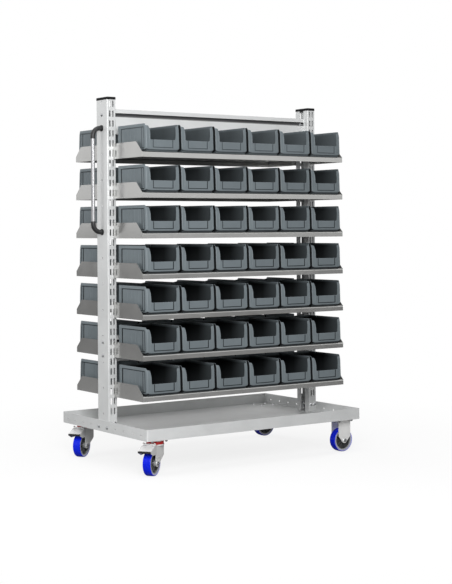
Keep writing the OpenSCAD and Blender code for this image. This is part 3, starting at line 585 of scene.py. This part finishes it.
def half_rim():
    """Stops along half a bin's rim, front middle to rear middle: kind, place, top, wall, recess, lift."""
    stops = []
    for x, recess in ((0, 0.8), (30, 0.8), (LABEL_HALF - 2.6, 0.8), (LABEL_HALF - 2, 2.2),
                      (LABEL_HALF + 2, 2.2), (LABEL_HALF + 2.6, 0.0), (66, 0.0)):
        stops.append(("front", x, FRONT_H, 3.0, recess, 0.0))
    for x, top, lift in ((70, FRONT_H + 0.8, 0), (72.4, FRONT_H + 3.2, 0), (73.4, FRONT_H + 7, 0),
                         (74.0, 80, 0.1), (74.6, 91, 0.2), (76.4, 108, 0.3), (78.0, POST_H - 7.0, 0.5),
                         (79.0, POST_H - 3.2, 0.6), (81.0, POST_H - 0.8, 0.9), (86, POST_H, 2.0)):
        stops.append(("front", x, top, 3.0, 0.0, lift))
    corner = ((0.2, 4.0), (0.6, 5.4), (2.2, 6.0), (6.2, 5.4), (9.2, 4.0), (10.0, 2.6))
    for step, (rise, lift) in enumerate(corner):
        stops.append(("front_corner", 18.0 * step, POST_H + rise, 3.0 + 0.4 * step, 0.0, lift))
    panel = [(17.2, 0.0), (18.2, 2.8), (24.2, 2.8), (25.2, 0.5), (38.4, 0.5), (39.4, 2.8), (46.4, 2.8),
             (47.4, 1.8)]
    for rib in (80, 116, 152, 188):
        panel += [(rib - 3.5, 1.8), (rib - 2.2, 0.7), (rib + 2.2, 0.7), (rib + 3.5, 1.8)]
    panel += [(234, 1.8), (235, 2.8), (243, 2.8), (244, 0.0), (BIN_LEN - REAR_R - 2, 0.0)]
    for y, recess in panel:
        stops.append(("side", y, BIN_H, 5.0, recess, 1.2 if recess == 0.0 and y < LEAN_END else 0.0))
    for step in range(5):
        stops.append(("rear_corner", 90.0 * step / 4, BIN_H, 5.0 - 0.5 * step, 0.0, 0.0))
    for x in (60, 0):
        stops.append(("rear", x, BIN_H, 3.0, 0.0, 0.0))
    return stops


def wall_place(kind, value, inset):
    """Point on the bin's outline, moved in by a distance, on the right-hand half."""
    front, rear = max(FRONT_R - inset, 1.5), max(REAR_R - inset, 1.5)
    edge = BIN_W / 2 - inset
    if kind == "front":
        return value * (edge - front) / (BIN_W / 2 - FRONT_R), inset
    if kind == "rear":
        return value * (edge - rear) / (BIN_W / 2 - REAR_R), BIN_LEN - inset
    if kind == "side":
        share = (value - FRONT_R) / (BIN_LEN - FRONT_R - REAR_R)
        return edge, inset + front + share * (BIN_LEN - 2 * inset - front - rear)
    angle = math.radians(value)
    if kind == "front_corner":
        return edge - front + front * math.sin(angle), inset + front - front * math.cos(angle)
    return edge - rear + rear * math.cos(angle), BIN_LEN - inset - rear + rear * math.sin(angle)


def wall_steps(kind, place, top, wall, recess, lift):
    """(inset, height, rub, painted shade) from under the foot, up the outside, over the rim and down
    inside.
    """
    label = kind == "front" and recess > 0.0
    low_edge = 19.0 if label else 16.0
    band = top - (3.0 if kind == "front" else BAND)
    lean = recess if label else 0.0
    deep = 0.0 if recess == 0.0 else max(recess, 2.2)
    under = deep if kind == "side" else recess
    line = 0.9 if deep else 0.0
    # Painted shade: the foot under the bin, the label slot, the panel grooves and the inside are darkened;
    # the inside side walls less towards the front.
    dark = 1.0 if recess > 2.0 else 0.0
    inner = min(1.0, 0.52 + place / 300.0) if kind == "side" else 1.0
    edge = line if kind == "side" else dark
    face = dark if label else 0.0
    outside = [(5.0, 8.0 + 0.6 * lift, 0.0, 1.0), (2.2, 8.7 + 0.8 * lift, 0.0, 0.8),
               (0.7, 10.3 + lift, 0.3, 0.0), (0.0, 13.2 + lift, 0.1, 0.0), (0.0, low_edge - 1.0, 0.0, 0.0),
               (deep, low_edge - 0.4, 0.0, line), (deep, low_edge + 3.0, 0.0, line),
               (recess, low_edge + 3.6, 0.0, dark), (recess, band - 4.6, 0.0, dark),
               (under, band - 4.0, 0.0, edge), (under, band - 0.6, 0.0, edge),
               (lean, band + 0.2, 0.1, face), (lean, top - 1.3, 0.4, face)]
    for k in range(1, len(outside)):
        inset, height, rub_and_highlight, shade = outside[k]
        outside[k] = (inset, max(height, outside[k - 1][1] + 0.05), rub_and_highlight, shade)
    return [(FOOT_IN + 2.4, 0.0, 0.0, 0.8), (FOOT_IN + 0.4, 0.5, 0.0, 0.8), (FOOT_IN, 1.8, 0.0, 0.8),
            (FOOT_IN, 7.2, 0.0, 0.9), (FOOT_IN - 0.9, 8.0, 0.0, 0.9)] + outside + [
            (lean + 0.35, top - 0.4, 1.0, 0.0), (lean + 1.0, top, 1.0, 0.0), (wall - 0.9, top, 1.0, 0.0),
            (wall - 0.3, top - 0.4, 0.8, 0.0), (wall, top - 1.3, 0.2, 0.4 * inner),
            (wall, top - 14.0, 0.0, inner), (wall, 17.0, 0.0, 0.94 * inner),
            (wall + 0.9, 13.0, 0.0, 1.0), (wall + 3.0, 11.0, 0.0, 1.0), (FOOT_IN + 2.2, 11.0, 0.0, 1.0),
            (FOOT_IN + 3.0, 10.2, 0.0, 1.0), (FOOT_IN + 3.2, 4.2, 0.0, 1.0), (FOOT_IN + 4.6, 3.0, 0.0, 1.0)]


def bin_form():
    """One bin, its front at y = 0, its base at z = 0 and its middle at x = 0."""
    right = half_rim()
    loop = [(1, stop) for stop in right] + [(-1, stop) for stop in reversed(right[1:-1])]
    points, rub_and_highlight, dark, flank = [], [], [], []
    for side, (kind, value, top, wall, recess, lift) in loop:
        beside = kind == "side" or kind == "front_corner" and value > 50.0
        for inset, height, worn, shade in wall_steps(kind, value, top, wall, recess, lift):
            x, y = wall_place(kind, value, inset)
            points.append((side * x * MM, leaned(y, height) * MM, height * MM))
            rub_and_highlight.append(worn)
            dark.append(shade)
            flank.append(side if beside and inset < 2.9 and height < top - 1.0 else 0.0)
    steps = len(points) // len(loop)
    faces = []
    for k in range(len(loop)):
        here, there = k * steps, (k + 1) % len(loop) * steps
        for j in range(steps - 1):
            faces.append((here + j, there + j, there + j + 1, here + j + 1))
    faces.append(tuple(k * steps for k in reversed(range(len(loop)))))
    faces.append(tuple(k * steps + steps - 1 for k in range(len(loop))))
    obj = mesh_object("bin_form", points, faces, bin_plastic, 0.55)
    marked(obj, "rub_and_highlight", rub_and_highlight)
    marked(obj, "dark", dark)
    marked(obj, "flank", flank)
    return obj


def row_tree():
    """A row of bins at an even step, each a little different in tone, turned and set on its shelf."""
    tree, given, out = node_tree("bin_row", {"Bin": "Object", "Bins": "Int", "Step": "Vector",
                                             "Start": "Vector", "Turn": "Rotation", "Place": "Vector",
                                             "Seed": "Int", "Finish": "Material", "Shade": "Float"})
    link = tree.links.new

    def sum_of(operation, *values):
        """One step of arithmetic on sockets and plain numbers."""
        node = add(tree, "ShaderNodeMath", operation=operation)
        for socket, value in zip(node.inputs, values):
            if isinstance(value, float):
                socket.default_value = value
            else:
                link(value, socket)
        return node.outputs[0]

    def stored(name, domain):
        """A node that keeps one number under a name, and the socket that takes it."""
        node = add(tree, "GeometryNodeStoreNamedAttribute", {"Name": name}, data_type="FLOAT",
                   domain=domain)
        return node, next(s for s in node.inputs if s.name == "Value" and s.enabled)

    def read(name):
        """A number kept under a name."""
        node = add(tree, "GeometryNodeInputNamedAttribute", {"Name": name}, data_type="FLOAT")
        return next(s for s in node.outputs if s.name == "Attribute" and s.enabled)

    line = add(tree, "GeometryNodeMeshLine", mode="OFFSET")
    form = add(tree, "GeometryNodeObjectInfo")
    on = add(tree, "GeometryNodeInstanceOnPoints")
    tone = add(tree, "FunctionNodeRandomValue", data_type="FLOAT")
    store, tone_in = stored("tone", "INSTANCE")
    ends, end_in = stored("row_end", "INSTANCE")
    shades, shade_in = stored("dark", "POINT")
    index = add(tree, "GeometryNodeInputIndex")
    across = add(tree, "ShaderNodeMapRange", {"To Min": -1.01, "To Max": 1.01})
    stand = add(tree, "GeometryNodeTransform")
    real = add(tree, "GeometryNodeRealizeInstances")
    finish = add(tree, "GeometryNodeSetMaterial")
    link(given.outputs["Bins"], line.inputs["Count"])
    link(given.outputs["Start"], line.inputs["Start Location"])
    link(given.outputs["Step"], line.inputs["Offset"])
    link(given.outputs["Bin"], form.inputs["Object"])
    link(line.outputs["Mesh"], on.inputs["Points"])
    link(form.outputs["Geometry"], on.inputs["Instance"])
    link(given.outputs["Seed"], tone.inputs["Seed"])
    link(on.outputs["Instances"], store.inputs["Geometry"])
    link(next(s for s in tone.outputs if s.enabled), tone_in)
    link(store.outputs["Geometry"], ends.inputs["Geometry"])
    link(index.outputs["Index"], across.inputs["Value"])
    link(sum_of("SUBTRACT", given.outputs["Bins"], 1.0), across.inputs["From Max"])
    link(sum_of("TRUNC", across.outputs["Result"]), end_in)
    link(ends.outputs["Geometry"], stand.inputs["Geometry"])
    link(given.outputs["Turn"], stand.inputs["Rotation"])
    link(given.outputs["Place"], stand.inputs["Translation"])
    link(stand.outputs["Geometry"], real.inputs["Geometry"])
    link(real.outputs["Geometry"], shades.inputs["Geometry"])
    # Painted shade darkens a flank where another bin stands beside it
    open_end = sum_of("MAXIMUM", sum_of("MULTIPLY", read("flank"), read("row_end")), 0.0)
    beside = sum_of("SUBTRACT", sum_of("ABSOLUTE", read("flank")), open_end)
    link(sum_of("MAXIMUM", sum_of("MULTIPLY", read("dark"), given.outputs["Shade"]), beside), shade_in)
    link(shades.outputs["Geometry"], finish.inputs["Geometry"])
    link(given.outputs["Finish"], finish.inputs["Material"])
    link(finish.outputs["Geometry"], out.inputs["Geometry"])
    return tree


bin_plastic = skin("bin_plastic", (0.145, 0.171, 0.185), (0.165, 0.193, 0.208), (0.34, 0.42), 800.0, 0.06,
                   Specular_IOR_Level=0.2)
tree = bin_plastic.node_tree
base = tree.nodes["Principled BSDF"].inputs["Base Color"]
tone = add(tree, "ShaderNodeAttribute", attribute_name="tone")
level = add(tree, "ShaderNodeMapRange", {"To Min": 0.96, "To Max": 1.04})
batch = add(tree, "ShaderNodeMix", data_type="RGBA", blend_type="MULTIPLY")
batch.inputs["Factor"].default_value = 1.0
tree.links.new(tone.outputs["Fac"], level.inputs["Value"])
tree.links.new(base.links[0].from_socket, batch.inputs["A"])
tree.links.new(level.outputs["Result"], batch.inputs["B"])
tree.links.new(batch.outputs["Result"], base)
touched(bin_plastic, "rub_and_highlight", 0.35, (0.22, 0.25, 0.27))
# Painted shade over the bins where the dark mark says: insides, feet, grooves and the flanks between bins.
touched(bin_plastic, "dark", 0.98, (0.002, 0.0025, 0.003))
# Where the painted shade lies, the plastic is made rough as well, so it shows no sheen.
gloss = tree.nodes["Principled BSDF"].inputs["Roughness"]
painted_shade = add(tree, "ShaderNodeAttribute", attribute_name="dark")
dull = add(tree, "ShaderNodeMix", {"B": 0.95}, data_type="FLOAT")
tree.links.new(painted_shade.outputs["Fac"], dull.inputs["Factor"])
tree.links.new(gloss.links[0].from_socket, dull.inputs["A"])
tree.links.new(dull.outputs["Result"], gloss)

BIN_ROW = row_tree()
one_bin = bin_form()
BIN_STEP = 206.0
BIN_COUNT = 6
# Share of the bins' painted shade in each row: the top rows, with less shelf above them, are shaded less.
INNER_SHADE = {7: 0.62, 6: 0.86, 5: 0.93}
for face in ("front", "rear"):
    for row in SHELF_ROWS:
        low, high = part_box(f"{face}_bins_{row}")
        place = Vector(((low.x + high.x) / 2, low.y if face == "front" else high.y, low.z))
        bins = grown(f"{face}_bin_row_{row}_mouldings", BIN_ROW,
                     {"Bin": one_bin, "Bins": BIN_COUNT, "Step": (BIN_STEP * MM, 0.0, 0.0),
                      "Start": (-(BIN_COUNT - 1) / 2 * BIN_STEP * MM, 0.0, 0.0),
                      "Turn": (0.0, 0.0, 0.0 if face == "front" else math.pi), "Place": place,
                      "Seed": row + (0 if face == "front" else 20), "Finish": bin_plastic,
                      "Shade": INNER_SHADE.get(row, 1.0)})
        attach(bins, f"{face}_bin_row_{row}")
        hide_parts(f"{face}_bins_{row}")
bpy.data.objects.remove(one_bin)


# Floor, light and camera
# A pale floor that the camera sees as white apart from the cart's soft shadow, a key lamp in front on
# the left, weaker lamps on the other sides and overhead, and the photograph's view.
FAR = 200.0
floor = mesh_object("floor", [(-FAR, -FAR, 0), (FAR, -FAR, 0), (FAR, FAR, 0), (-FAR, FAR, 0)],
                    [(0, 1, 2, 3)], None)
floor_white = bpy.data.materials.new("floor_white")
floor_white.use_nodes = True
tree = floor_white.node_tree
link = tree.links.new
tree.nodes.clear()
matt = add(tree, "ShaderNodeBsdfDiffuse")
white = add(tree, "ShaderNodeEmission", {"Color": (1.0, 1.0, 1.0, 1.0), "Strength": 1.0})
ray = add(tree, "ShaderNodeLightPath")
place = add(tree, "ShaderNodeTexCoord")
reach = add(tree, "ShaderNodeVectorMath", operation="LENGTH")
fade = add(tree, "ShaderNodeMapRange", {"From Min": 0.9, "From Max": 2.6, "To Min": 0.82, "To Max": 1.0})
shade = add(tree, "ShaderNodeMix", data_type="RGBA")
shade.inputs["A"].default_value = (0.30, 0.30, 0.30, 1.0)
shade.inputs["B"].default_value = (1.0, 1.0, 1.0, 1.0)
seen = add(tree, "ShaderNodeMath", operation="MULTIPLY")
blend = add(tree, "ShaderNodeMixShader")
end = add(tree, "ShaderNodeOutputMaterial")
link(place.outputs["Object"], reach.inputs[0])
link(reach.outputs["Value"], fade.inputs["Value"])
link(ray.outputs["Is Camera Ray"], shade.inputs["Factor"])
link(shade.outputs["Result"], matt.inputs["Color"])
link(ray.outputs["Is Camera Ray"], seen.inputs[0])
link(fade.outputs["Result"], seen.inputs[1])
link(seen.outputs[0], blend.inputs["Fac"])
link(matt.outputs["BSDF"], blend.inputs[1])
link(white.outputs["Emission"], blend.inputs[2])
link(blend.outputs["Shader"], end.inputs["Surface"])
floor.data.materials.clear()
floor.data.materials.append(floor_white)

world = bpy.data.worlds.new("studio")
bpy.context.scene.world = world
world.use_nodes = True
tree = world.node_tree
link = tree.links.new
sky = tree.nodes["Background"]
sky.inputs["Color"].default_value = (1.0, 1.0, 1.0, 1.0)
ray = add(tree, "ShaderNodeLightPath")
any_seen = add(tree, "ShaderNodeMath", operation="MAXIMUM")
any_clear = add(tree, "ShaderNodeMath", operation="MAXIMUM")
level = add(tree, "ShaderNodeMapRange", {"To Min": 0.25, "To Max": 1.0})
link(ray.outputs["Is Camera Ray"], any_seen.inputs[0])
link(ray.outputs["Is Glossy Ray"], any_seen.inputs[1])
link(any_seen.outputs[0], any_clear.inputs[0])
link(ray.outputs["Is Transmission Ray"], any_clear.inputs[1])
link(any_clear.outputs[0], level.inputs["Value"])
link(level.outputs["Result"], sky.inputs["Strength"])


def lamp(name, place, target, size, watts, mirrored=True):
    """A rectangular soft lamp that points at a target, and may stay out of the metal's mirror."""
    data = bpy.data.lights.new(name, "AREA")
    data.shape = "RECTANGLE"
    data.size, data.size_y = size
    data.energy = watts
    obj = bpy.data.objects.new(name, data)
    obj.location = place
    obj.visible_glossy = mirrored
    obj.rotation_euler = (Vector(target) - Vector(place)).to_track_quat("-Z", "Y").to_euler()
    bpy.context.scene.collection.objects.link(obj)


lamp("front_key", (-2.2, -3.4, 2.2), (-0.2, 0.0, 1.0), (1.6, 1.6), 126.0)
lamp("low_fill", (0.2, -5.0, 0.7), (0.6, 0.0, 0.4), (1.2, 1.0), 20.0)
lamp("left_fill", (-4.4, 0.4, 1.5), (0.0, 0.0, 0.9), (2.4, 2.4), 55.0, mirrored=False)
lamp("overhead", (-0.4, -0.4, 4.6), (0.0, 0.0, 1.0), (3.0, 3.0), 43.0)
lamp("right_fill", (4.6, 0.0, 1.8), (0.0, 0.0, 0.9), (2.2, 2.2), 60.0, mirrored=False)
lamp("rear_fill", (-0.4, 4.8, 2.2), (0.0, 0.0, 0.9), (2.4, 2.4), 80.0, mirrored=False)

VIEW_YAW = 0.6091
VIEW_ROLL = -0.0056
FOCAL_PX = 1370.5
PHOTO_H = 584.0
AXIS_ROW = 228.3
camera = bpy.data.cameras.new("photo_view")
camera.sensor_width = 36.0
camera.lens = FOCAL_PX / PHOTO_H * camera.sensor_width
camera.shift_y = (AXIS_ROW - PHOTO_H / 2) / PHOTO_H
eye = bpy.data.objects.new("photo_view", camera)
turn = Matrix.Rotation(-VIEW_YAW, 4, "Z") @ Matrix.Rotation(math.pi / 2, 4, "X")
turn = turn @ Matrix.Rotation(VIEW_ROLL, 4, "Z")
eye.matrix_world = Matrix.Translation((-4.09575, -6.03948, 1.2022)) @ turn
bpy.context.scene.collection.objects.link(eye)
bpy.context.scene.camera = eye
bpy.context.scene.view_settings.view_transform = "Standard"
